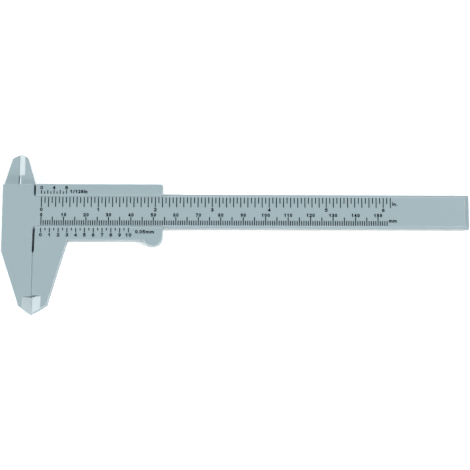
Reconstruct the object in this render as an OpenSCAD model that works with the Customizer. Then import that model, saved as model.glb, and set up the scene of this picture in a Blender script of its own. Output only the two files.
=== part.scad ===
// Moulded vernier caliper, 0 to 150 mm and 0 to 6 in, with two pairs of jaws.
// X runs along the beam, and X = 0 is where the outside jaws meet when closed.
// Y = 0 is the beam's centre line, and +Y points to the inside jaws.
// Z = 0 is the surface that the caliper lies on, and +Z is the printed face.

/* [Beam] */
// Length of the beam from the outside measuring faces to its free end
beam_l = 194.1; // [180:0.1:230]
// Width of the beam across its two guiding edges
beam_w = 15.4; // [15:0.1:17]
// Thickness of the beam
beam_t = 3.4; // [2.6:0.1:5]
// Width of the flat shoulder along each guiding edge
shoulder_w = 0.5; // [0.4:0.05:0.8]
// Width of the bevel between a shoulder and the printed face
shoulder_bevel_w = 0.75; // [0.6:0.05:0.9]
// Depth of the shoulders below the printed face
shoulder_drop = 0.6; // [0.4:0.05:1]
// Width of the flat border at the free end
end_border_w = 1.2; // [0.5:0.05:2]

/* [Fixed head] */
// Width of the head, left of the measuring faces
head_w = 14.1; // [13.8:0.1:18]
// Height of the head and the slider above the centre line
head_h = 12.2; // [12:0.1:14]
// Depth of the head's straight left edge below the centre line
head_side_h = 18; // [12:0.1:24]
// Radius on the head's free corners
head_corner_r = 0.6; // [0.2:0.1:1.5]

/* [Outside jaws] */
// Reach of the jaw tips below the centre line
jaw_reach = 46.4; // [44:0.1:60]
// Depth of the fixed jaw's lower corner below the centre line
fixed_jaw_corner_depth = 42.6; // [40:0.1:43]
// Depth of the moving jaw's lower corner below the centre line
moving_jaw_corner_depth = 42.1; // [40:0.1:43]
// Width of the fixed jaw at its lower corner
fixed_jaw_corner_w = 5.75; // [4.75:0.05:8]
// Width of the moving jaw at its lower corner
moving_jaw_corner_w = 6.7; // [5:0.1:9]
// Width of the moving jaw where it leaves the slider
moving_jaw_root_w = 15.1; // [11:0.1:20]
// Width of the blunt end of the fixed jaw's tip
fixed_tip_end_w = 0.5; // [0.2:0.05:1]
// Width of the thinned facet on each jaw tip
tip_facet_w = 4.1; // [2:0.1:4.5]
// Length of the fixed jaw's facet along the measuring face
fixed_tip_facet_l = 8.1; // [6:0.1:10]
// Length of the moving jaw's facet along the measuring face
moving_tip_facet_l = 8.4; // [6:0.1:10]
// Thickness that is left of each tip at its measuring face
tip_land_t = 1.8; // [1.4:0.1:3]
// Width of the groove along the top of the fixed jaw's front facet
fixed_tip_groove_w = 0.45; // [0.2:0.05:0.6]
// Width of the groove along the top of the moving jaw's front facet
moving_tip_groove_w = 0.3; // [0.2:0.05:0.6]
// Depth of these grooves at the measuring face, from where they run out to nothing
tip_groove_depth = 1; // [0.3:0.1:1.2]
// Depth of the shallow relief in the moving jaw's measuring face, above its facet
seam_relief_w = 0.15; // [0.05:0.01:0.2]

/* [Inside jaws] */
// Distance of the inside measuring edges left of the outside measuring faces
nose_seam_x = 7.05; // [6.7:0.05:7.1]
// Height of the noses above the head
nose_h = 14.2; // [13.6:0.1:18]
// Height of the noses' outer corners above the head
nose_corner_h = 12.5; // [8:0.1:12.8]
// Width of the slant that blunts the fixed nose's apex
nose_slant_w = 0.95; // [0.4:0.05:1.2]
// Height of that slant, by which the moving nose's apex is lower too
nose_slant_h = 0.25; // [0.1:0.05:0.6]
// Width of the fixed nose at its foot
fixed_nose_foot_w = 7.5; // [5:0.05:7.6]
// Width of the fixed nose at its outer corner
fixed_nose_corner_w = 3.7; // [3:0.05:4.8]
// Width of the moving nose at its foot
moving_nose_foot_w = 6.95; // [5:0.05:7]
// Width of the moving nose at its outer corner
moving_nose_corner_w = 3.2; // [2.6:0.1:4.8]
// Thickness of each nose blade
nose_t = 1.4; // [1:0.1:1.6]
// Width of the bevel that thins a nose to its measuring edge
nose_bevel_w = 2.55; // [1.3:0.05:2.7]
// Height above the head at which the measuring edges start
nose_root_h = 4.5; // [2:0.1:6]
// Distance of the fixed nose from the seam just below its measuring edge
nose_relief_w = 0.5; // [0.2:0.05:0.7]
// Distance of the fixed nose's foot from the seam
fixed_nose_foot_gap = 0.1; // [0:0.05:0.5]
// Distance of the moving nose's foot from the seam
moving_nose_foot_gap = 0.45; // [0.2:0.05:1]
// Distance from the seam to the crest of the bevel on the fixed nose's foot
nose_foot_crest_w = 1; // [0.8:0.05:1.2]
// Thickness that is left of a nose at its measuring edge
nose_edge_t = 0.15; // [0.1:0.05:0.4]
// Radius on the noses' outer corners
nose_corner_r = 1.1; // [0.2:0.1:1.2]

/* [Slider] */
// Length of the slider along the beam
slider_l = 56.6; // [54:0.1:70]
// Drop of the slider's lower edge below the centre line
slider_drop = 13.1; // [12.6:0.1:15]
// Thickness of the slider's back wall
back_t = 1.5; // [1.2:0.1:2.5]
// Thickness of the arm that carries the moving nose behind the head
arm_t = 1.8; // [1.6:0.1:2.8]
// Height of the slider's face above the beam's printed face
strip_rise = 0.5; // [0.3:0.05:1]
// Reach of the upper lip over the beam's guiding edge
upper_lip_reach = 1.1; // [0.7:0.05:1.15]
// Reach of the lower lip over the beam's guiding edge
lower_lip_reach = 0.85; // [0.7:0.05:1.15]
// Width of the bevel on each lip
lip_bevel_w = 0.65; // [0.3:0.05:0.9]
// Height of each lip's thin edge above the printed face
lip_edge_rise = 0.15; // [0.05:0.05:0.25]
// Running clearance between the slider and the beam
run_gap = 0.1; // [0.05:0.01:0.25]
// Distance of the slider's left edge from the measuring faces, down to the beam's lower edge
relief_w = 0.91; // [0.5:0.01:1.5]
// Distance of that edge from the measuring faces at the foot of the relief
relief_foot_w = 0.68; // [0.4:0.01:1.5]
// Distance of the head's right edge from the measuring faces, above the beam
head_relief_w = 0.15; // [0.05:0.05:0.5]
// Distance of the fixed jaw's edge from the measuring faces, at the beam's lower edge
jaw_relief_w = 0.25; // [0.1:0.05:0.5]
// Distance of that edge from the measuring faces at the foot of the relief
jaw_relief_foot_w = 0.45; // [0.1:0.05:0.6]
// Depth of the relief's foot below the centre line
relief_depth = 18; // [15:0.1:22]
// Height of the slant that closes the relief
relief_slant_h = 1.2; // [0.6:0.1:3]
// Radius on the slider's upper right corner
slider_corner_r = 0.6; // [0.2:0.1:1.5]

/* [Thumb rest] */
// Radius of the thumb rest
thumb_r = 4.3; // [3.6:0.1:5]
// Reach of the thumb rest below the slider's lower edge
thumb_drop = 2.55; // [2:0.05:3.4]

/* [Metric scale] */
// Distance of the zero lines from the measuring faces
scale_zero = 3.4; // [2.6:0.1:6]
// Pitch of the metric lines
mm_pitch = 1; // [0.9:0.01:1.1]
// Last metric line on the beam
mm_last = 154; // [150:1:160]
// Metric lines between two long lines
mm_long_every = 5; // [5:5:10]
// Metric lines between two numerals
mm_numeral_every = 10; // [10:10:20]
// Width of a metric line
mm_line_w = 0.42; // [0.2:0.01:0.45]
// Length of the short metric lines
mm_short_l = 2.2; // [1.2:0.1:2.6]
// Length of the long metric lines
mm_long_l = 3.8; // [2.8:0.1:3.9]
// Gap between the long metric lines and their numerals
mm_numeral_gap = 0.1; // [0.05:0.05:0.3]
// Parts of the metric vernier
mm_vernier_parts = 20; // [10:10:20]
// Length of the short lines of the metric vernier
mm_vernier_short_l = 1.2; // [0.8:0.1:1.6]
// Length of the long lines of the metric vernier
mm_vernier_long_l = 2.1; // [1.7:0.1:2.3]

/* [Inch scale] */
// Pitch of the inch lines, a sixteenth of an inch
inch_pitch = 1.5875; // [1.4:0.0125:1.65]
// Last inch line on the beam, in sixteenths
inch_last = 98; // [96:1:98]
// Inch lines between two long lines
inch_long_every = 2; // [2:2:4]
// Inch lines between two numerals
inch_numeral_every = 16; // [16:16:32]
// Width of an inch line
inch_line_w = 0.4; // [0.2:0.01:0.45]
// Length of the short inch lines
inch_short_l = 2.7; // [1.6:0.1:3.2]
// Length of the long inch lines
inch_long_l = 4.5; // [3.4:0.1:4.6]
// Gap between the long inch lines and their numerals
inch_numeral_gap = 0.3; // [0.1:0.05:0.5]
// Parts of the inch vernier
inch_vernier_parts = 8; // [4:4:8]
// Length of the short lines of the inch vernier
inch_vernier_short_l = 1.1; // [0.7:0.1:1.4]
// Length of the long lines of the inch vernier
inch_vernier_long_l = 1.7; // [1.5:0.1:2]

/* [Print] */
// Width of the lines of both verniers
vernier_line_w = 0.4; // [0.2:0.01:0.45]
// Gap between the beam's lower bevel and the feet of the metric lines
mm_line_margin = 0.05; // [0.05:0.05:0.3]
// Gap between the beam's upper bevel and the feet of the inch lines
inch_line_margin = 0.15; // [0.05:0.05:0.3]
// Thickness of the printed ink
ink_t = 0.05; // [0.03:0.01:0.1]
// Height of a numeral
numeral_h = 1.6; // [1.55:0.05:1.65]
// Width of a numeral on the metric beam scale
narrow_numeral_w = 1.08; // [0.95:0.01:1.2]
// Width of a numeral elsewhere
numeral_w = 1.25; // [1:0.05:1.3]
// Width of the strokes of numerals and letters
stroke_w = 0.38; // [0.2:0.01:0.4]
// Gap between two characters
letter_gap = 0.24; // [0.1:0.01:0.3]
// Gap between a vernier's lines and its numerals
vernier_numeral_gap = 0.3; // [0.2:0.05:0.5]
// Gap between the lower lip's bevel and the metric vernier's lines
mm_vernier_line_gap = 0.2; // [0.1:0.05:0.4]
// Gap between the upper lip's bevel and the inch vernier's lines
inch_vernier_line_gap = 0.45; // [0.1:0.05:0.6]
// Height of small letters
letter_h = 1.15; // [1:0.05:1.15]
// Gap between the last line of a scale and its unit mark
unit_gap = 0.85; // [0.4:0.05:2]
// Width of a plain letter in the unit marks
unit_letter_w = 1.05; // [1:0.01:1.2]
// Drop of the inch unit mark's foot below the inch lines' feet
inch_unit_drop = 3.55; // [2:0.05:4]
// Height of the metric unit mark's foot above the metric lines' feet
mm_unit_rise = 1.55; // [0.4:0.05:2]
// Gap between the last line of the inch vernier and its resolution mark
inch_mark_gap = 1.6; // [1:0.05:4]
// Height of the inch resolution mark's foot above the vernier's lines' feet
inch_mark_rise = 0.25; // [0:0.05:0.6]
// Gap between the last line of the metric vernier and its resolution mark
mm_mark_gap = 3; // [2:0.1:3.4]
// Drop of the metric resolution mark's foot below the vernier's lines' feet
mm_mark_drop = 2.5; // [1.9:0.05:3]
// Width of a numeral in the inch vernier's resolution mark
inch_mark_numeral_w = 1.05; // [1:0.01:1.2]
// Width of a numeral in the metric vernier's resolution mark
mm_mark_numeral_w = 1.12; // [1:0.01:1.3]

/* [Hidden] */

plastic = [0.65, 0.73, 0.75];
ink = [0.12, 0.15, 0.16];

// How far a cut runs past the surface that it opens, and a root runs into what carries it
overrun = 1;

// Levels above the surface that the caliper lies on
beam_back_z = back_t + run_gap;
face_z = beam_back_z + beam_t;
shoulder_z = face_z - shoulder_drop;
slider_face_z = face_z + strip_rise;
arm_gap_z = arm_t + run_gap;
fixed_nose_face_z = arm_gap_z + nose_t;
tip_z = (face_z - tip_land_t) / 2;

// Places across the beam
beam_edge_y = beam_w / 2;
bevel_foot_y = beam_edge_y - shoulder_w;
print_edge_y = bevel_foot_y - shoulder_bevel_w;
mm_line_y = -print_edge_y + mm_line_margin;
inch_line_y = print_edge_y - inch_line_margin;
channel_y = beam_edge_y + run_gap;
upper_lip_y = beam_edge_y - upper_lip_reach;
lower_lip_y = beam_edge_y - lower_lip_reach;
mm_vernier_line_y = -lower_lip_y - lip_bevel_w - mm_vernier_line_gap;
inch_vernier_line_y = upper_lip_y + lip_bevel_w + inch_vernier_line_gap;
bevel_slope = shoulder_drop / shoulder_bevel_w;
fixed_facet_top_y = -jaw_reach + fixed_tip_facet_l;
moving_facet_top_y = -jaw_reach + moving_tip_facet_l;
nose_root_y = head_h + nose_root_h;
nose_past_y = head_h + nose_h + overrun;

// Places along the beam
slider_end_x = relief_w + slider_l;
thumb_x = slider_end_x - thumb_r;
thumb_y = -slider_drop - thumb_drop + thumb_r;
thumb_start_angle = -180 + asin((thumb_r - thumb_drop) / thumb_r);
mm_vernier_pitch = (2 * mm_vernier_parts - 1) * mm_pitch / mm_vernier_parts;
inch_vernier_pitch = (inch_vernier_parts - 1) * inch_pitch / inch_vernier_parts;
mm_numeral_y = mm_line_y + mm_long_l + mm_numeral_gap;
inch_numeral_y = inch_line_y - inch_long_l - inch_numeral_gap - numeral_h;
mm_vernier_numeral_y = mm_vernier_line_y - mm_vernier_long_l - vernier_numeral_gap - numeral_h;
inch_vernier_numeral_y = inch_vernier_line_y + inch_vernier_long_l + vernier_numeral_gap;

// Segments of a rounded corner, of the thumb rest and of half a letter's bowl
corner_steps = 4;
thumb_steps = 24;
bowl_steps = 8;

// Outlines
function unit(v) = v / norm(v);

// Points of the arc that rounds the corner at b, between a and c
function round_corner(a, b, c, r) =
    let (to_a = unit(a - b),
         to_c = unit(c - b),
         half = acos(to_a * to_c) / 2,
         centre = b + unit(to_a + to_c) * r / sin(half),
         from_a = b + to_a * r / tan(half) - centre,
         from_c = b + to_c * r / tan(half) - centre)
    [for (i = [0 : corner_steps])
        let (k = i / corner_steps,
             v = from_a * sin((1 - k) * (90 - half) * 2) + from_c * sin(k * (90 - half) * 2))
        centre + unit(v) * r];

function arc(centre, rx, ry, start, end, steps) =
    [for (i = [0 : steps])
        let (a = start + (end - start) * i / steps)
        centre + [rx * cos(a), ry * sin(a)]];

// A solid with a constant section, drawn in Y and Z and run along X from a to b
module along_x(section, a, b) {
    translate([a, 0, 0])
        rotate([90, 0, 90])
            linear_extrude(b - a)
                polygon(section);
}

// A solid with a constant section, drawn in X and Z and run along Y from a to b
module along_y(section, a, b) {
    translate([0, b, 0])
        rotate([90, 0, 0])
            linear_extrude(b - a)
                polygon(section);
}

module plate(outline, z0, z1) {
    translate([0, 0, z0])
        linear_extrude(z1 - z0)
            polygon(outline);
}

// The wedge that cuts a facet from outer_z at its outer edge to seam_z at the measuring face
// side is -1 for the jaw left of the measuring face and 1 for the jaw right of it
module facet_cut(side, outer_z, seam_z, start_y, end_y) {
    slope = (seam_z - outer_z) / tip_facet_w;
    out_z = outer_z - sign(slope) * overrun;
    along_y([
            [side * tip_facet_w, outer_z],
            [side * tip_facet_w, out_z],
            [-side * overrun, out_z],
            [-side * overrun, seam_z + overrun * slope]
        ],
        start_y, end_y);
}

// The facets that thin a jaw's tip on its front and its back, and the groove above the front one
module tip_cut(side, body_face_z, top_y, groove_w) {
    land_z = tip_z + tip_land_t;
    facet_cut(side, body_face_z, land_z, -jaw_reach - overrun, top_y);
    facet_cut(side, body_face_z, land_z - tip_groove_depth, top_y - groove_w, top_y);
    facet_cut(side, 0, tip_z, -jaw_reach - overrun, top_y);
}

// Outline of a nose, from its foot up, with its measuring edge at the seam
// side is 1 for the nose right of the seam and -1 for the nose left of it
// Its inner edge lies relief from the seam at the root and foot_gap from it at the foot
function nose_outline(side, foot_w, corner_w, slant_w, relief, foot_gap) =
    let (seam = [-nose_seam_x, 0],
         foot = seam + [side * foot_w, head_h],
         corner = seam + [side * corner_w, head_h + nose_corner_h],
         edge_end = seam + [0, head_h + nose_h - nose_slant_h],
         apex = seam + [slant_w, head_h + nose_h],
         top = slant_w > 0 ? [apex, edge_end] : [edge_end],
         root = seam + [0, nose_root_y],
         step = relief > 0 ? [root, root + [side * relief, 0]] : [root],
         inside_x = max(min(foot.x, -head_relief_w), -head_w))
    concat(
        [seam + [side * foot_gap, head_h - overrun],
         [inside_x, head_h - overrun],
         [inside_x, head_h],
         foot],
        round_corner(foot, corner, top[0], nose_corner_r),
        top,
        step,
        [seam + [side * foot_gap, head_h]]
    );

// The wedge that bevels a nose from its face at face_z, crest_w from the seam, down to the seam
// out is 1 where that face is the nose's front and -1 where it is its back
module nose_bevel(side, out, face_z, crest_w, start_y, end_y) {
    slope = out * (nose_t - nose_edge_t) / nose_bevel_w;
    translate([-nose_seam_x, 0, 0])
        along_y([
                [-side * overrun, face_z - (crest_w + overrun) * slope],
                [side * crest_w, face_z],
                [side * crest_w, face_z + out * overrun],
                [-side * overrun, face_z + out * overrun]
            ],
            start_y, end_y);
}

// Beam, fixed outside jaw and fixed nose, which are one moulding
module main_beam() {
    section = [
        [-beam_edge_y, beam_back_z],
        [beam_edge_y, beam_back_z],
        [beam_edge_y, shoulder_z],
        [bevel_foot_y, shoulder_z],
        [print_edge_y, face_z],
        [-print_edge_y, face_z],
        [-bevel_foot_y, shoulder_z],
        [-beam_edge_y, shoulder_z]
    ];
    end_bevel_x = beam_l - end_border_w;
    side_view = [
        [-overrun, 0],
        [beam_l, 0],
        [beam_l, shoulder_z],
        [end_bevel_x, shoulder_z],
        [end_bevel_x - shoulder_bevel_w, face_z],
        [-overrun, face_z]
    ];
    top_left = [-head_w, head_h];
    jaw_outline = [
        [-head_relief_w, 0],
        [-head_relief_w, beam_edge_y],
        [-head_w, beam_edge_y],
        [-head_w, -head_side_h],
        [-fixed_jaw_corner_w, -fixed_jaw_corner_depth],
        [-fixed_tip_end_w, -jaw_reach],
        [0, -jaw_reach],
        [0, -relief_depth - relief_slant_h],
        [-jaw_relief_foot_w, -relief_depth],
        [-jaw_relief_w, -beam_edge_y],
        [-jaw_relief_w, 0]
    ];
    top_outline = concat(
        [[-head_relief_w, beam_edge_y - overrun],
         [-head_relief_w, head_h]],
        round_corner([0, head_h], top_left, [-head_w, 0], head_corner_r),
        [[-head_w, beam_edge_y - overrun]]
    );
    color(plastic) {
        intersection() {
            along_x(section, -overrun, beam_l);
            along_y(side_view, -beam_w, beam_w);
        }
        difference() {
            plate(jaw_outline, 0, face_z);
            tip_cut(-1, face_z, fixed_facet_top_y, fixed_tip_groove_w);
        }
        plate(top_outline, arm_gap_z, face_z);
        difference() {
            plate(nose_outline(1, fixed_nose_foot_w, fixed_nose_corner_w, nose_slant_w, nose_relief_w,
                    fixed_nose_foot_gap),
                arm_gap_z, fixed_nose_face_z);
            nose_bevel(1, 1, fixed_nose_face_z, nose_bevel_w, nose_root_y, nose_past_y);
            nose_bevel(1, 1, fixed_nose_face_z, nose_foot_crest_w, head_h - overrun, nose_past_y);
        }
    }
}

// Half of the slider's channel in Y and Z, on the side with y above 0, up to the slider's face
function half_channel(lip_y) =
    let (under_z = shoulder_z + run_gap,
         thin_z = under_z + (bevel_foot_y - lip_y) * bevel_slope)
    [[channel_y, back_t],
     [channel_y, under_z],
     [bevel_foot_y, under_z],
     [lip_y, thin_z],
     [lip_y, face_z + lip_edge_rise],
     [lip_y + lip_bevel_w, slider_face_z],
     [lip_y + lip_bevel_w, slider_face_z + overrun]];

// Slider, moving outside jaw and moving nose, which are one moulding
module slider() {
    top_right = [slider_end_x, head_h];
    outline = concat(
        [[relief_w, head_h],
         [relief_w, -beam_edge_y],
         [relief_foot_w, -relief_depth],
         [seam_relief_w, -relief_depth - relief_slant_h],
         [seam_relief_w, moving_facet_top_y],
         [0, moving_facet_top_y],
         [0, -jaw_reach],
         [moving_jaw_corner_w, -moving_jaw_corner_depth],
         [moving_jaw_root_w, -slider_drop]],
        arc([thumb_x, thumb_y], thumb_r, thumb_r, thumb_start_angle, 0, thumb_steps),
        round_corner([slider_end_x, 0], top_right, [0, head_h], slider_corner_r)
    );
    lower_half = half_channel(lower_lip_y);
    channel = concat(
        half_channel(upper_lip_y),
        [for (i = [len(lower_half) - 1 : -1 : 0]) [-lower_half[i].x, lower_half[i].y]]
    );
    arm = [
        [-nose_seam_x - moving_nose_foot_w, channel_y],
        [relief_w + overrun, channel_y],
        [relief_w + overrun, head_h],
        [-nose_seam_x - moving_nose_foot_w, head_h]
    ];
    color(plastic) {
        difference() {
            plate(outline, 0, slider_face_z);
            along_x(channel, 0, slider_end_x + overrun);
            tip_cut(1, slider_face_z, moving_facet_top_y, moving_tip_groove_w);
        }
        plate(arm, 0, arm_t);
        difference() {
            plate(nose_outline(-1, moving_nose_foot_w, moving_nose_corner_w, 0, 0, moving_nose_foot_gap),
                arm_t - nose_t, arm_t);
            nose_bevel(-1, -1, arm_t - nose_t, nose_bevel_w, nose_root_y, nose_past_y);
        }
    }
}

// Line of ink across the scale at x, from foot_y up by rise, or down where rise is negative
module line(x, foot_y, width, rise) {
    translate([x - width / 2, min(foot_y, foot_y + rise), 0])
        cube([width, abs(rise), ink_t]);
}

// Strokes of the characters
function normal(a, b) = let (d = unit(b - a)) [-d.y, d.x];

// How far the corner at b moves when both its sides move out by one unit
function mitre(a, b, c) =
    let (n = normal(a, b), m = normal(b, c))
    (n + m) / (1 + n * m);

function moved(path, d) =
    let (last = len(path) - 1)
    [for (i = [0 : last])
        path[i] + d * (
            i == 0 ? normal(path[0], path[1])
            : i == last ? normal(path[last - 1], path[last])
            : mitre(path[i - 1], path[i], path[i + 1]))];

// The path with both its ends run on by half a stroke
function capped(path) =
    let (last = len(path) - 1,
         start = path[0] + unit(path[0] - path[1]) * stroke_w / 2,
         end = path[last] + unit(path[last] - path[last - 1]) * stroke_w / 2)
    [for (i = [0 : last]) i == 0 ? start : i == last ? end : path[i]];

// A stroke whose middle follows the path
module stroke(path) {
    whole = capped(path);
    one = moved(whole, stroke_w / 2);
    other = moved(whole, -stroke_w / 2);
    last = len(path) - 1;
    polygon(concat(one, [for (i = [last : -1 : 0]) other[i]]));
}

// A closed bowl, whose stroke has its middle on the ellipse
module bowl(centre, rx, ry) {
    count = 2 * bowl_steps;
    half = stroke_w / 2;
    outer = arc(centre, rx + half, ry + half, 0, 360 * (1 - 1 / count), count - 1);
    inner = arc(centre, rx - half, ry - half, 0, 360 * (1 - 1 / count), count - 1);
    polygon(concat(outer, inner),
        [[for (i = [0 : count - 1]) i], [for (i = [0 : count - 1]) count + i]]);
}

// Width of a character, as a share of a numeral's width
function width_share(c) =
    c == "m" ? 1.55
    : c == "i" ? 0.3
    : c == "." ? 0.3
    : c == "/" ? 0.75
    : 1;

// One character in a box of w by h, with its lower left corner at the origin
// Places are shares of the box that the middles of the strokes reach
module character(c, w, h) {
    half = stroke_w / 2;
    bw = w * width_share(c) - stroke_w;
    bh = h - stroke_w;
    small_h = letter_h - stroke_w;
    function at(x_share, y_share) = [half + bw * x_share, half + bh * y_share];
    function low(x_share, y_share) = [half + bw * x_share, half + small_h * y_share];
    function bend(x_share, y_share, rx_share, ry_share, start, end) =
        arc(at(x_share, y_share), bw * rx_share, bh * ry_share, start, end, bowl_steps);
    module hump(x_share, share) {
        top = arc(low(x_share + share / 2, 0.6), bw * share / 2, small_h * 0.4, 160, 0, bowl_steps);
        stroke(concat(top, [low(x_share + share, 0)]));
    }
    module dot(y) {
        translate([0, y])
            square(stroke_w);
    }
    if (c == "0") {
        bowl(at(0.5, 0.5), bw / 2, bh / 2);
    } else if (c == "1") {
        stroke([at(0.6, 0), at(0.6, 1)]);
        stroke([at(0.15, 0.68), at(0.48, 0.9)]);
    } else if (c == "2") {
        stroke(concat(bend(0.5, 0.7, 0.5, 0.3, 165, -35), [at(0.14, 0.06)]));
        stroke([at(0, 0), at(1, 0)]);
    } else if (c == "3") {
        stroke(bend(0.46, 0.75, 0.44, 0.25, 140, -90));
        stroke(bend(0.46, 0.26, 0.54, 0.26, 90, -140));
    } else if (c == "4") {
        stroke([at(0.74, 0), at(0.74, 1)]);
        stroke([at(0.62, 0.88), at(0.06, 0.34)]);
        stroke([at(0, 0.28), at(1, 0.28)]);
    } else if (c == "5") {
        stroke([at(0.94, 1), at(0.12, 1), at(0.07, 0.54)]);
        stroke(bend(0.44, 0.32, 0.56, 0.32, 128, -140));
    } else if (c == "6") {
        bowl(at(0.5, 0.3), bw * 0.5, bh * 0.3);
        stroke(bend(0.82, 0.3, 0.82, 0.7, 95, 180));
    } else if (c == "7") {
        stroke([at(0, 1), at(1, 1)]);
        stroke([at(0.92, 0.9), at(0.38, 0)]);
    } else if (c == "8") {
        bowl(at(0.5, 0.76), bw * 0.42, bh * 0.24);
        bowl(at(0.5, 0.27), bw * 0.5, bh * 0.27);
    } else if (c == "9") {
        bowl(at(0.5, 0.7), bw * 0.5, bh * 0.3);
        stroke(bend(0.18, 0.7, 0.82, 0.7, -85, 0));
    } else if (c == "m") {
        stroke([low(0, 0), low(0, 1)]);
        hump(0, 0.5);
        hump(0.5, 0.5);
    } else if (c == "n") {
        stroke([low(0, 0), low(0, 1)]);
        hump(0, 1);
    } else if (c == "i") {
        stroke([low(0, 0), low(0, 1)]);
        dot(h - stroke_w);
    } else if (c == ".") {
        dot(0);
    } else if (c == "/") {
        stroke([at(0, 0), at(1, 1)]);
    }
}

// Distance from the start of a word to its character number i
function advance(word, i, w) = i == 0 ? 0
    : advance(word, i - 1, w) + w * width_share(word[i - 1]) + letter_gap;

// A word whose first character starts at x, with its foot at y
module word(text, x, y, w) {
    for (i = [0 : len(text) - 1])
        translate([x + advance(text, i, w), y, 0])
            linear_extrude(ink_t)
                character(text[i], w, numeral_h);
}

// A numeral centred on x, with its foot at y
module numeral(value, x, y, w) {
    text = str(value);
    word(text, x - (advance(text, len(text), w) - letter_gap) / 2, y, w);
}

module on_beam() {
    translate([0, 0, face_z])
        color(ink)
            children();
}

module on_slider() {
    translate([0, 0, slider_face_z])
        color(ink)
            children();
}

module beam_mm_lines() {
    on_beam()
        for (i = [0 : mm_last])
            line(scale_zero + i * mm_pitch, mm_line_y, mm_line_w,
                i % mm_long_every == 0 ? mm_long_l : mm_short_l);
}

module beam_mm_numerals() {
    on_beam()
        for (i = [0 : mm_numeral_every : mm_last])
            numeral(i, scale_zero + i * mm_pitch, mm_numeral_y, narrow_numeral_w);
}

module beam_mm_unit_mark() {
    on_beam()
        word("mm", scale_zero + mm_last * mm_pitch + unit_gap, mm_line_y + mm_unit_rise,
            unit_letter_w);
}

module beam_inch_lines() {
    on_beam()
        for (i = [0 : inch_last])
            line(scale_zero + i * inch_pitch, inch_line_y, inch_line_w,
                i % inch_long_every == 0 ? -inch_long_l : -inch_short_l);
}

module beam_inch_numerals() {
    on_beam()
        for (i = [0 : inch_numeral_every : inch_last])
            numeral(i / inch_numeral_every, scale_zero + i * inch_pitch, inch_numeral_y, numeral_w);
}

module beam_inch_unit_mark() {
    on_beam()
        word("in.", scale_zero + inch_last * inch_pitch + unit_gap, inch_line_y - inch_unit_drop,
            unit_letter_w);
}

module vernier_mm_lines() {
    on_slider()
        for (i = [0 : mm_vernier_parts])
            line(scale_zero + i * mm_vernier_pitch, mm_vernier_line_y, vernier_line_w,
                i % 2 == 0 ? -mm_vernier_long_l : -mm_vernier_short_l);
}

module vernier_mm_numerals() {
    on_slider()
        for (i = [0 : 2 : mm_vernier_parts])
            numeral(i / 2, scale_zero + i * mm_vernier_pitch, mm_vernier_numeral_y, numeral_w);
}

module vernier_mm_resolution_mark() {
    on_slider()
        word("0.05mm", scale_zero + mm_vernier_parts * mm_vernier_pitch + mm_mark_gap,
            mm_vernier_line_y - mm_mark_drop, mm_mark_numeral_w);
}

module vernier_inch_lines() {
    on_slider()
        for (i = [0 : inch_vernier_parts])
            line(scale_zero + i * inch_vernier_pitch, inch_vernier_line_y, vernier_line_w,
                i % 2 == 0 ? inch_vernier_long_l : inch_vernier_short_l);
}

module vernier_inch_numerals() {
    on_slider()
        for (i = [0 : inch_vernier_parts / 2 : inch_vernier_parts])
            numeral(i, scale_zero + i * inch_vernier_pitch, inch_vernier_numeral_y, numeral_w);
}

module vernier_inch_resolution_mark() {
    on_slider()
        word("1/128in", scale_zero + inch_vernier_parts * inch_vernier_pitch + inch_mark_gap,
            inch_vernier_line_y + inch_mark_rise, inch_mark_numeral_w);
}

main_beam();
slider();
beam_mm_lines();
beam_mm_numerals();
beam_mm_unit_mark();
beam_inch_lines();
beam_inch_numerals();
beam_inch_unit_mark();
vernier_mm_lines();
vernier_mm_numerals();
vernier_mm_resolution_mark();
vernier_inch_lines();
vernier_inch_numerals();
vernier_inch_resolution_mark();
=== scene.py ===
"""Looks of a moulded vernier caliper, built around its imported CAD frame."""

from __future__ import annotations

import logging
import math
from dataclasses import dataclass, field
from enum import Enum

import bmesh
import bpy
from mathutils import Matrix, Vector

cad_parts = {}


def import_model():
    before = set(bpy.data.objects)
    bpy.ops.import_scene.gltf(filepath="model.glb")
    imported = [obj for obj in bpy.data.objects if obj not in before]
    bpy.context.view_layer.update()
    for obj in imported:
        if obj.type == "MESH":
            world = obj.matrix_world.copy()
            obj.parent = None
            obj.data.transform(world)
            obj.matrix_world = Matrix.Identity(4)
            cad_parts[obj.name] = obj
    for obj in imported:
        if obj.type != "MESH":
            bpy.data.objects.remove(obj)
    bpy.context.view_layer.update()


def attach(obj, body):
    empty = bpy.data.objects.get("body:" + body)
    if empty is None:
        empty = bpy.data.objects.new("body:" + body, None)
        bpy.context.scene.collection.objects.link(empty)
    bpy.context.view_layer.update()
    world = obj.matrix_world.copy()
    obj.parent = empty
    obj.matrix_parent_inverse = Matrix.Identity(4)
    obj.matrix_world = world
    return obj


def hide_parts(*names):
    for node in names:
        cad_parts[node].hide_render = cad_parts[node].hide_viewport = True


LOG = logging.getLogger("caliper")
MM = 0.001
Colour = tuple[float, float, float]
PerMetre = tuple[float, float, float]

# Colour sockets of the Mix node, which share their names with its other sockets
MIX_SHARE, MIX_FIRST, MIX_SECOND = 0, 6, 7
MIX_RESULT = 2

# Part of a noise pattern's values that most of the pattern lies in
NOISE_LOW, NOISE_HIGH = 0.3, 0.7

# Watts per square metre that each unit of a lamp's radiance takes
LAMP_POWER = 4.0

# Material index that marks the faces of a rounded edge
ROUNDED = 1


class Slot(Enum):
    """Material slots of the caliper's record."""

    PLASTIC = "plastic"
    INK = "ink"


class Body(Enum):
    """Rigid bodies of the caliper."""

    BEAM = "beam"
    SLIDER = "slider"


def even(cycles: float) -> PerMetre:
    """Cycles of a pattern that has the same size along every axis."""
    return (cycles, cycles, cycles)


@dataclass(frozen=True)
class Noise:
    """A noise pattern on object coordinates.

    Attributes:
        cycles: Cycles of the pattern per metre along X, Y and Z.
        detail: Octaves of the noise.
        roughness: Strength of the finer octaves.
    """

    cycles: PerMetre
    detail: float
    roughness: float = 0.5


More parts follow.
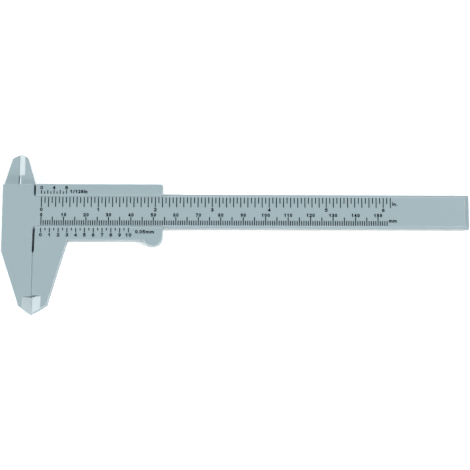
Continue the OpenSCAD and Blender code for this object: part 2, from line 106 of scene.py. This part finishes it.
class ShaderGraph:
    """A material's node tree, with short calls for the nodes that the finishes share."""

    def __init__(self, name: str) -> None:
        """Starts an empty material.

        Args:
            name: The material's name.
        """
        self.material = bpy.data.materials.new(name)
        self.material.use_nodes = True
        self.nodes = self.material.node_tree.nodes
        self.links = self.material.node_tree.links
        self.nodes.clear()
        self.output = self.add("ShaderNodeOutputMaterial")

    def add(self, kind: str, **values: object) -> bpy.types.Node:
        """Adds a node.

        Args:
            kind: The node's type name.
            **values: Properties to set on it.

        Returns:
            The new node.
        """
        node = self.nodes.new(kind)
        for name, value in values.items():
            setattr(node, name, value)
        return node

    def link(self, source: bpy.types.NodeSocket, target: bpy.types.NodeSocket) -> None:
        """Links one socket to another.

        Args:
            source: The output socket.
            target: The input socket.
        """
        self.links.new(source, target)

    def object_place(self, cycles: PerMetre) -> bpy.types.NodeSocket:
        """Object coordinates, scaled to the size of a pattern.

        Args:
            cycles: Cycles of the pattern per metre along X, Y and Z.

        Returns:
            The socket that holds the scaled place.
        """
        place = self.add("ShaderNodeTexCoord")
        mapping = self.add("ShaderNodeMapping")
        mapping.inputs["Scale"].default_value = cycles
        self.link(place.outputs["Object"], mapping.inputs["Vector"])
        return mapping.outputs["Vector"]

    def noise(self, pattern: Noise) -> bpy.types.NodeSocket:
        """Adds a noise pattern.

        Args:
            pattern: The pattern's size and detail.

        Returns:
            The socket that holds the noise, from 0 to 1.
        """
        node = self.add("ShaderNodeTexNoise")
        node.inputs["Scale"].default_value = 1.0
        node.inputs["Detail"].default_value = pattern.detail
        node.inputs["Roughness"].default_value = pattern.roughness
        self.link(self.object_place(pattern.cycles), node.inputs["Vector"])
        return node.outputs["Fac"]

    def spread(self, pattern: Noise, low: float, high: float) -> bpy.types.NodeSocket:
        """Maps the middle values of a noise pattern to a range.

        Args:
            pattern: The pattern's size and detail.
            low: Value where the pattern is low.
            high: Value where the pattern is high.

        Returns:
            The socket that holds the mapped value.
        """
        node = self.add("ShaderNodeMapRange")
        node.inputs["From Min"].default_value = NOISE_LOW
        node.inputs["From Max"].default_value = NOISE_HIGH
        node.inputs["To Min"].default_value = low
        node.inputs["To Max"].default_value = high
        self.link(self.noise(pattern), node.inputs["Value"])
        return node.outputs["Result"]

    def combine(
        self, operation: str, first: bpy.types.NodeSocket, second: bpy.types.NodeSocket
    ) -> bpy.types.NodeSocket:
        """Combines two values.

        Args:
            operation: The Math node's name for the operation.
            first: The first value.
            second: The second value.

        Returns:
            The socket that holds the result.
        """
        node = self.add("ShaderNodeMath", operation=operation)
        self.link(first, node.inputs[0])
        self.link(second, node.inputs[1])
        return node.outputs["Value"]

    def blend(
        self, share: bpy.types.NodeSocket, first: Colour | bpy.types.NodeSocket, second: Colour
    ) -> bpy.types.NodeSocket:
        """Blends two colours.

        Args:
            share: Share of the second colour.
            first: The first colour, or the socket that holds it.
            second: The second colour.

        Returns:
            The socket that holds the blend.
        """
        node = self.add("ShaderNodeMix", data_type="RGBA")
        self.link(share, node.inputs[MIX_SHARE])
        if isinstance(first, tuple):
            node.inputs[MIX_FIRST].default_value = (*first, 1.0)
        else:
            self.link(first, node.inputs[MIX_FIRST])
        node.inputs[MIX_SECOND].default_value = (*second, 1.0)
        return node.outputs[MIX_RESULT]

    def bump(
        self, pattern: Noise, depth: float, below: bpy.types.NodeSocket | None = None
    ) -> bpy.types.NodeSocket:
        """Turns a noise pattern into the surface normal of a relief.

        Args:
            pattern: The pattern of heights.
            depth: Depth of the relief, in metres.
            below: Normal of a coarser relief that this one lies on.

        Returns:
            The socket that holds the normal.
        """
        node = self.add("ShaderNodeBump")
        node.inputs["Strength"].default_value = 1.0
        node.inputs["Distance"].default_value = depth
        self.link(self.noise(pattern), node.inputs["Height"])
        if below is not None:
            self.link(below, node.inputs["Normal"])
        return node.outputs["Normal"]

    def finish(self, shader: bpy.types.Node) -> bpy.types.Material:
        """Links the last shader to the output.

        Args:
            shader: The node whose shader the material shows.

        Returns:
            The material.
        """
        self.link(shader.outputs["BSDF"], self.output.inputs["Surface"])
        return self.material


@dataclass(frozen=True)
class MouldedPlastic:
    """Satin blue-grey plastic, as it comes out of a polished mould.

    Attributes:
        name: Name of the material.
        colour: Main colour.
        cool_colour: Colour of the bluer streaks.
        wear_and_highlight_colour: Colour of the rounded edges where the spots are strongest,
            lighter partly for wear and partly as a painted highlight of the rims.
        ior: Index of refraction.
        roughness_low: Roughness where the surface is handled most.
        roughness_high: Roughness where it is handled least.
        wear_and_highlight_low: Least share of that lighter colour on the rounded edges.
        flow: Streaks along the beam, where the plastic flowed.
        wear_and_highlight_spots: Spots along the edges where the wear and the painted highlight
            are strongest.
        handling: Patches of even gloss.
        sink: Shallow hollows where the plastic shrank.
        sink_depth: Their depth, in metres.
        grain: Fine grain of the mould.
        grain_depth: Its depth, in metres.
    """

    name: str = "moulded_plastic"
    colour: Colour = (0.376, 0.482, 0.514)
    cool_colour: Colour = (0.366, 0.474, 0.512)
    wear_and_highlight_colour: Colour = (0.55, 0.65, 0.675)
    ior: float = 1.5
    roughness_low: float = 0.27
    roughness_high: float = 0.36
    wear_and_highlight_low: float = 0.3
    flow: Noise = Noise((16.0, 70.0, 70.0), 3.0)
    wear_and_highlight_spots: Noise = Noise(even(160.0), 4.0)
    handling: Noise = Noise(even(45.0), 5.0, 0.6)
    sink: Noise = Noise((26.0, 60.0, 60.0), 1.0)
    sink_depth: float = 0.00004
    grain: Noise = Noise(even(2600.0), 2.0)
    grain_depth: float = 0.000004

    def build(self) -> bpy.types.Material:
        """Builds the finish.

        Returns:
            The material.
        """
        graph = ShaderGraph(self.name)
        shader = graph.add("ShaderNodeBsdfPrincipled")
        shader.inputs["IOR"].default_value = self.ior
        tint = graph.blend(graph.spread(self.flow, 0.0, 1.0), self.colour, self.cool_colour)
        # Rounded edges are tinted lighter: partly wear, partly a painted highlight of the rims.
        edge = graph.add("ShaderNodeAttribute", attribute_name="rounded_edge")
        spots = graph.spread(self.wear_and_highlight_spots, self.wear_and_highlight_low, 1.0)
        wear_and_highlight_share = graph.combine("MULTIPLY", edge.outputs["Fac"], spots)
        graph.link(graph.blend(wear_and_highlight_share, tint, self.wear_and_highlight_colour), shader.inputs["Base Color"])
        gloss = graph.spread(self.handling, self.roughness_low, self.roughness_high)
        graph.link(gloss, shader.inputs["Roughness"])
        hollows = graph.bump(self.sink, self.sink_depth)
        relief = graph.bump(self.grain, self.grain_depth, hollows)
        graph.link(relief, shader.inputs["Normal"])
        return graph.finish(shader)


@dataclass(frozen=True)
class PrintedInk:
    """Near-black ink, printed on the plastic in one thin layer.

    Attributes:
        name: Name of the material.
        colour: Colour where the ink lies thick.
        thin_colour: Colour where it lies thin.
        gloss: Level of its mirror-like reflection.
        roughness_low: Roughness of its smoothest patches.
        roughness_high: Roughness of its roughest patches.
        cover: Spots of thick and thin ink.
        sheen: Patches of even roughness.
        grain: Fine grain of the dried ink.
        grain_depth: Its depth, in metres.
    """

    name: str = "printed_ink"
    colour: Colour = (0.004, 0.007, 0.009)
    thin_colour: Colour = (0.009, 0.014, 0.017)
    gloss: float = 0.04
    roughness_low: float = 0.42
    roughness_high: float = 0.6
    cover: Noise = Noise(even(900.0), 3.0, 0.6)
    sheen: Noise = Noise(even(220.0), 2.0)
    grain: Noise = Noise(even(3200.0), 2.0)
    grain_depth: float = 0.000005

    def build(self) -> bpy.types.Material:
        """Builds the finish.

        Returns:
            The material.
        """
        graph = ShaderGraph(self.name)
        shader = graph.add("ShaderNodeBsdfPrincipled")
        shader.inputs["Specular IOR Level"].default_value = self.gloss
        thin = graph.spread(self.cover, 0.0, 1.0)
        graph.link(graph.blend(thin, self.colour, self.thin_colour), shader.inputs["Base Color"])
        roughness = graph.spread(self.sheen, self.roughness_low, self.roughness_high)
        graph.link(roughness, shader.inputs["Roughness"])
        graph.link(graph.bump(self.grain, self.grain_depth), shader.inputs["Normal"])
        return graph.finish(shader)


@dataclass(frozen=True)
class PaleFloor:
    """Matt white table, which looks paler where it is seen than where it lights the caliper.

    Attributes:
        name: Name of the material.
        colour: Grey level where it lights the caliper.
        seen_colour: Grey level where it is seen.
    """

    name: str = "pale_floor"
    colour: float = 0.8
    seen_colour: float = 1.62

    def build(self) -> bpy.types.Material:
        """Builds the finish.

        Returns:
            The material.
        """
        graph = ShaderGraph(self.name)
        matt = graph.add("ShaderNodeBsdfDiffuse")
        path = graph.add("ShaderNodeLightPath")
        seen = path.outputs["Is Camera Ray"]
        for ray in ("Is Glossy Ray", "Is Transmission Ray"):
            seen = graph.combine("MAXIMUM", seen, path.outputs[ray])
        colour = graph.blend(seen, (self.colour,) * 3, (self.seen_colour,) * 3)
        graph.link(colour, matt.inputs["Color"])
        return graph.finish(matt)


def run_of(edge: bmesh.types.BMEdge) -> Vector:
    """The way from an edge's first point to its second."""
    return edge.verts[1].co - edge.verts[0].co


def room_beside(edge: bmesh.types.BMEdge) -> float:
    """Width of the narrower face beside an edge, in millimetres."""
    return min(face.calc_area() for face in edge.link_faces) / run_of(edge).length / MM


@dataclass
class Moulding:
    """One rigid moulding: its CAD shape with the rounded edges that a mould gives it.

    Sizes are in millimetres and angles in degrees.

    Attributes:
        node: CAD node that the moulding stands for.
        body: Body that it rides on.
        name: Name of the finished piece.
        rim_r: Rounding of the rims.
        crease_r: Rounding of the flatter creases.
        blade_r: Rounding on the thin nose and on the lips' ends.
        blade_foot_y: Y above which a point belongs to the nose.
        blade_foot_gap: Longest edge that leads on to a point of the nose's foot.
        blade_link_l: Longest edge that starts on the nose and is rounded like it.
        keen_w: Least width of a face, and of a wall, whose edges are rounded.
        arc_facet_w: Least width of a face that isn't a step of a CAD arc.
        crease_angle: Least turn of an edge that is rounded.
        rim_angle: Least turn of a rim.
        sharp_angle: Least turn that is shaded as a sharp edge.
        lip_edge_l: Longest edge across a lip's end.
        jaw_edge_x: Reach of the jaws' inner edges, from the measuring faces.
        jaw_edge_r: Rounding of the jaws' inner edges.
        fit_share: Largest share of a face's width that a rounding takes.
        straight_share: Least part along Y of a measuring edge's length.
        upright_share: Least part along Z of an upright edge's length.
        across_share: Largest part along X of the length of an edge across the beam.
        down_slope: Least downward part of the normal of a face that faces down.
        merge_gap: Gap below which the CAD shape's points are one.
        flat_angle: Turn below which the CAD shape's faces are one.
        arc_steps: Steps of a rounding.
        flat_weight: How strongly the shading follows the large faces, from 1 to 100.
    """

    node: str
    body: Body
    name: str
    rim_r: float = 0.22
    crease_r: float = 0.1
    blade_r: float = 0.05
    blade_foot_y: float = 12.25
    blade_foot_gap: float = 0.5
    blade_link_l: float = 16.0
    keen_w: float = 0.3
    arc_facet_w: float = 0.6
    crease_angle: float = 15.0
    rim_angle: float = 60.0
    sharp_angle: float = 32.0
    lip_edge_l: float = 1.2
    jaw_edge_x: float = 1.3
    jaw_edge_r: float = 0.07
    fit_share: float = 0.3
    straight_share: float = 0.98
    upright_share: float = 0.9
    across_share: float = 0.01
    down_slope: float = 0.1
    merge_gap: float = 0.002
    flat_angle: float = 0.4
    arc_steps: int = 4
    flat_weight: int = 100

    def blade_points(self, shape: bmesh.types.BMesh) -> set[bmesh.types.BMVert]:
        """Points of the thin nose, and those at its foot.

        Args:
            shape: The merged CAD shape.

        Returns:
            The points.
        """
        points = {vert for vert in shape.verts if vert.co.y > self.blade_foot_y * MM}
        points |= {edge.other_vert(vert) for vert in points for edge in vert.link_edges}
        near = {
            edge.other_vert(vert)
            for vert in points
            for edge in vert.link_edges
            if edge.calc_length() < self.blade_foot_gap * MM
        }
        return points | near

    def is_keen(self, edge: bmesh.types.BMEdge) -> bool:
        """Whether an edge runs along a measuring edge, up to the nose's thinned tip."""
        run = run_of(edge)
        posts = (
            other
            for vert in edge.verts
            for other in vert.link_edges
            if other is not edge and other.verts[0].co.xy == other.verts[1].co.xy
        )
        thin = any(post.calc_length() < self.keen_w * MM for post in posts)
        return thin and abs(run.y) > self.straight_share * run.length

    def is_kept(self, edge: bmesh.types.BMEdge) -> bool:
        """Whether an edge stays as it is in the CAD shape.

        Args:
            edge: An edge of the merged CAD shape.

        Returns:
            True for a hollow or nearly flat edge, a measuring edge, and one beside a narrow face.
        """
        if len(edge.link_faces) != 2 or not edge.is_convex:
            return True
        if math.degrees(edge.calc_face_angle(0.0)) < self.crease_angle:
            return True
        run = run_of(edge)
        room = room_beside(edge)
        on_arc = abs(run.z) > self.upright_share * run.length and room < self.arc_facet_w
        return room < self.keen_w or on_arc or self.is_keen(edge)

    def crosses_lip_end(self, edge: bmesh.types.BMEdge) -> bool:
        """Whether an edge crosses the underside of a lip's end."""
        run = run_of(edge)
        across_beam = abs(run.x) < self.across_share * run.length
        faces_down = any(face.normal.z < -self.down_slope for face in edge.link_faces)
        return across_beam and faces_down and run.length < self.lip_edge_l * MM

    def edge_radius(self, edge: bmesh.types.BMEdge, blade: set[bmesh.types.BMVert]) -> float:
        """Width of the rounding of one edge.

        Args:
            edge: An edge of the merged CAD shape.
            blade: Points of the thin nose.

        Returns:
            The width in millimetres, or 0 where the edge stays as it is.
        """
        if self.is_kept(edge):
            return 0.0
        on_blade = sum(vert in blade for vert in edge.verts)
        leaves_blade = on_blade == 1 and run_of(edge).length < self.blade_link_l * MM
        if on_blade == 2 or leaves_blade:
            radius = self.blade_r
        elif math.degrees(edge.calc_face_angle(0.0)) >= self.rim_angle:
            radius = self.rim_r
        else:
            radius = self.crease_r
        if self.crosses_lip_end(edge):
            radius = min(radius, self.blade_r)
        if all(abs(vert.co.x) < self.jaw_edge_x * MM for vert in edge.verts):
            radius = min(radius, self.jaw_edge_r)
        return min(radius, room_beside(edge) * self.fit_share)

    def merged_shape(self) -> bmesh.types.BMesh:
        """The CAD node's shape with its loose triangles merged into whole faces.

        Returns:
            A new bmesh.
        """
        shape = bmesh.new()
        shape.from_mesh(bpy.data.objects[self.node].data)
        bmesh.ops.remove_doubles(shape, verts=shape.verts, dist=self.merge_gap * MM)
        bmesh.ops.dissolve_limit(
            shape,
            angle_limit=math.radians(self.flat_angle),
            verts=shape.verts,
            edges=shape.edges,
        )
        return shape

    def rounded(self, shape: bmesh.types.BMesh) -> bpy.types.Object:
        """Rounds the edges of a shape, each by its own width.

        Args:
            shape: The merged shape, which is used up.

        Returns:
            A new object whose rounding is applied, with material index ROUNDED on its new faces.
        """
        weights = shape.edges.layers.float.new("bevel_weight_edge")
        blade = self.blade_points(shape)
        for edge in shape.edges:
            edge[weights] = self.edge_radius(edge, blade) / self.rim_r
        draft_mesh = bpy.data.meshes.new(self.name + "_draft")
        shape.to_mesh(draft_mesh)
        shape.free()
        draft = bpy.data.objects.new(self.name + "_draft", draft_mesh)
        bpy.context.scene.collection.objects.link(draft)
        bevel = draft.modifiers.new("rounding", "BEVEL")
        bevel.limit_method = "WEIGHT"
        bevel.offset_type = "OFFSET"
        bevel.width = self.rim_r * MM
        bevel.segments = self.arc_steps
        bevel.profile = 0.5
        bevel.material = ROUNDED
        bevel.use_clamp_overlap = False
        for _ in range(ROUNDED + 1):
            draft_mesh.materials.append(None)
        graph = bpy.context.evaluated_depsgraph_get()
        mesh = bpy.data.meshes.new_from_object(draft.evaluated_get(graph), depsgraph=graph)
        bpy.data.objects.remove(draft)
        piece = bpy.data.objects.new(self.name, mesh)
        bpy.context.scene.collection.objects.link(piece)
        return piece

    def mark_edges(self, mesh: bpy.types.Mesh) -> None:
        """Marks the sharp edges, and the points that lie on a rounded edge.

        Args:
            mesh: The rounded mesh, whose rounded faces hold material index ROUNDED.
        """
        shape = bmesh.new()
        shape.from_mesh(mesh)
        # These points take the plastic's lighter edge tint, partly wear and partly painted
        # highlight.
        rounded = shape.verts.layers.float.new("rounded_edge")
        for vert in shape.verts:
            vert[rounded] = float(all(face.material_index == ROUNDED for face in vert.link_faces))
        for edge in shape.edges:
            edge.smooth = edge.calc_face_angle(0.0) < math.radians(self.sharp_angle)
        for face in shape.faces:
            face.smooth = True
            face.material_index = 0
        shape.to_mesh(mesh)
        shape.free()

    def dress(self, finish: bpy.types.Material) -> None:
        """Builds the finished moulding and puts it on its body.

        Args:
            finish: The moulding's material.
        """
        piece = self.rounded(self.merged_shape())
        mesh = piece.data
        self.mark_edges(mesh)
        mesh.materials.clear()
        mesh.materials.append(finish)
        soften = piece.modifiers.new("face_normals", "WEIGHTED_NORMAL")
        soften.weight = self.flat_weight
        soften.keep_sharp = True
        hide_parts(self.node)
        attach(piece, self.body.value)
        LOG.info("%s: %d faces on body %s", piece.name, len(mesh.polygons), self.body.value)


@dataclass
class BeamMoulding(Moulding):
    """Beam, fixed head, fixed outside jaw and fixed nose."""

    node: str = "main_beam"
    body: Body = Body.BEAM
    name: str = "beam_moulding"


@dataclass
class SliderMoulding(Moulding):
    """Slider with its two lips, moving outside jaw, moving nose and thumb rest."""

    node: str = "slider"
    body: Body = Body.SLIDER
    name: str = "slider_moulding"


@dataclass
class ScalePrint:
    """The metric and the inch scale on one moulding, whose ink keeps its CAD shape.

    Attributes:
        scale: First word of the scale's CAD nodes.
        mark: Name of the mark at the scale's end.
        units: Words for the two units.
    """

    scale: str
    mark: str
    units: tuple[str, ...] = ("mm", "inch")

    def dress(self, finish: bpy.types.Material) -> None:
        """Gives every layer of the print the ink's finish.

        Args:
            finish: The ink's material.
        """
        for unit in self.units:
            for part in ("lines", "numerals", self.mark):
                layer = bpy.data.objects[f"{self.scale}_{unit}_{part}"]
                layer.data.materials.clear()
                layer.data.materials.append(finish)
                LOG.info("%s: slot %s, %s", layer.name, Slot.INK.value, finish.name)


@dataclass(frozen=True)
class Softbox:
    """A large lamp that faces the caliper.

    Attributes:
        name: Name of the lamp.
        azimuth: Direction from the caliper, in degrees from X towards Y.
        elevation: Height above the floor, in degrees.
        radiance: Brightness of the lamp's face.
        width: Width in metres.
        height: Height in metres.
        distance: Distance from the caliper in metres.
    """

    name: str
    azimuth: float
    elevation: float
    radiance: float
    width: float = 0.95
    height: float = 0.75
    distance: float = 1.9

    def place(self, target: Vector) -> None:
        """Adds the lamp to the scene.

        Args:
            target: The point that the lamp faces.
        """
        turn, rise = math.radians(self.azimuth), math.radians(self.elevation)
        flat = math.cos(rise)
        away = Vector((math.cos(turn) * flat, math.sin(turn) * flat, math.sin(rise)))
        lamp = bpy.data.lights.new(self.name, "AREA")
        lamp.shape = "RECTANGLE"
        lamp.size = self.width
        lamp.size_y = self.height
        lamp.energy = self.radiance * LAMP_POWER * self.width * self.height
        holder = bpy.data.objects.new(self.name, lamp)
        holder.location = target + away * self.distance
        holder.rotation_euler = away.to_track_quat("Z", "Y").to_euler()
        bpy.context.scene.collection.objects.link(holder)


@dataclass
class Studio:
    """Floor, surrounding light and lamps.

    Attributes:
        target: The point that the lamps face.
        floor_size: Side of the floor in metres.
        horizon_strength: Surrounding light from the horizon.
        zenith_strength: Surrounding light from overhead.
        zenith_start: Height of the direction where the overhead light starts, up to 1.
        seen_strength: Surrounding light where the camera sees it.
        softboxes: The lamps.
    """

    target: Vector
    floor_size: float = 6.0
    horizon_strength: float = 0.28
    zenith_strength: float = 0.04
    zenith_start: float = 0.9
    seen_strength: float = 1.0
    softboxes: tuple[Softbox, ...] = (
        Softbox("left_softbox", 171.0, 23.0, 8.9),
        Softbox("right_softbox", 0.0, 54.0, 7.5),
        Softbox("near_softbox", 270.0, 31.0, 2.3, 2.4, 0.7),
        Softbox("far_softbox", 90.0, 15.0, 2.5, 1.4, 0.6),
    )

    def build(self) -> None:
        """Adds the floor, the surrounding light and the lamps."""
        self.lay_floor()
        self.light_surroundings()
        for softbox in self.softboxes:
            softbox.place(self.target)

    def lay_floor(self) -> None:
        """Adds the floor under the caliper."""
        shape = bmesh.new()
        bmesh.ops.create_grid(shape, x_segments=1, y_segments=1, size=self.floor_size / 2)
        mesh = bpy.data.meshes.new("floor")
        shape.to_mesh(mesh)
        shape.free()
        mesh.materials.append(PaleFloor().build())
        floor = bpy.data.objects.new("floor", mesh)
        bpy.context.scene.collection.objects.link(floor)

    def light_surroundings(self) -> None:
        """Sets a world that is bright at the horizon and darker overhead."""
        world = bpy.data.worlds.new("studio")
        bpy.context.scene.world = world
        world.use_nodes = True
        nodes, links = world.node_tree.nodes, world.node_tree.links
        nodes.clear()
        place = nodes.new("ShaderNodeTexCoord")
        split = nodes.new("ShaderNodeSeparateXYZ")
        fade = nodes.new("ShaderNodeMapRange")
        fade.inputs["From Min"].default_value = 0.0
        fade.inputs["From Max"].default_value = self.zenith_start
        fade.inputs["To Min"].default_value = self.horizon_strength
        fade.inputs["To Max"].default_value = self.zenith_strength
        path = nodes.new("ShaderNodeLightPath")
        seen = nodes.new("ShaderNodeMix")
        seen.inputs["B"].default_value = self.seen_strength
        background = nodes.new("ShaderNodeBackground")
        output = nodes.new("ShaderNodeOutputWorld")
        links.new(place.outputs["Generated"], split.inputs["Vector"])
        links.new(split.outputs["Z"], fade.inputs["Value"])
        links.new(path.outputs["Is Camera Ray"], seen.inputs["Factor"])
        links.new(fade.outputs["Result"], seen.inputs["A"])
        links.new(seen.outputs["Result"], background.inputs["Strength"])
        links.new(background.outputs["Background"], output.inputs["Surface"])


@dataclass(frozen=True)
class ProductCamera:
    """The camera that took the photograph's view.

    Attributes:
        target: The point that the camera faces, in millimetres.
        distance: Distance from that point, in millimetres.
        tilt: Angle between the view and straight down, in degrees.
        roll: Turn of the camera around its view, in degrees.
        focal_pixels: Focal length in pixels of the photograph.
        frame_pixels: Width of the photograph in pixels.
        sensor: Width of the sensor in millimetres.
        clip_near: Nearest distance that is drawn, in metres.
        clip_far: Farthest distance that is drawn, in metres.
    """

    target: tuple[float, float, float] = (89.76, -10.6, 4.6)
    distance: float = 644.5
    tilt: float = 10.0
    roll: float = 0.1655
    focal_pixels: float = 1450.0
    frame_pixels: float = 470.0
    sensor: float = 36.0
    clip_near: float = 0.01
    clip_far: float = 20.0

    @property
    def target_place(self) -> Vector:
        """The point that the camera faces, in metres."""
        return Vector(self.target) * MM

    def place(self) -> None:
        """Adds the camera and makes it the scene's camera."""
        data = bpy.data.cameras.new("product_camera")
        data.sensor_width = self.sensor
        data.sensor_fit = "HORIZONTAL"
        data.lens = self.focal_pixels / self.frame_pixels * self.sensor
        data.clip_start, data.clip_end = self.clip_near, self.clip_far
        data.dof.use_dof = False
        camera = bpy.data.objects.new("product_camera", data)
        tilt = math.radians(self.tilt)
        back = Vector((0.0, -math.sin(tilt), math.cos(tilt)))
        up = Vector((0.0, math.cos(tilt), math.sin(tilt)))
        turn = Matrix.Rotation(math.radians(self.roll), 3, back)
        axes = Matrix((turn @ Vector((1.0, 0.0, 0.0)), turn @ up, back)).transposed()
        place = Matrix.Translation(self.target_place + back * self.distance * MM)
        camera.matrix_world = place @ axes.to_4x4()
        bpy.context.scene.collection.objects.link(camera)
        bpy.context.scene.camera = camera


@dataclass
class VernierCaliper:
    """The whole caliper: two mouldings and the scales printed on them."""

    beam: BeamMoulding = field(default_factory=BeamMoulding)
    slider: SliderMoulding = field(default_factory=SliderMoulding)
    beam_print: ScalePrint = field(default_factory=lambda: ScalePrint("beam", "unit_mark"))
    slider_print: ScalePrint = field(
        default_factory=lambda: ScalePrint("vernier", "resolution_mark")
    )

    def build(self) -> None:
        """Builds and dresses every piece."""
        plastic = MouldedPlastic().build()
        self.beam.dress(plastic)
        self.slider.dress(plastic)
        ink = PrintedInk().build()
        self.beam_print.dress(ink)
        self.slider_print.dress(ink)


def main() -> None:
    """Builds the scene around the frame."""
    logging.basicConfig(level=logging.INFO, format="%(name)s: %(message)s")
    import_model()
    bpy.context.scene.view_settings.view_transform = "Standard"
    camera = ProductCamera()
    camera.place()
    Studio(camera.target_place).build()
    VernierCaliper().build()


if __name__ == "__main__":
    main()
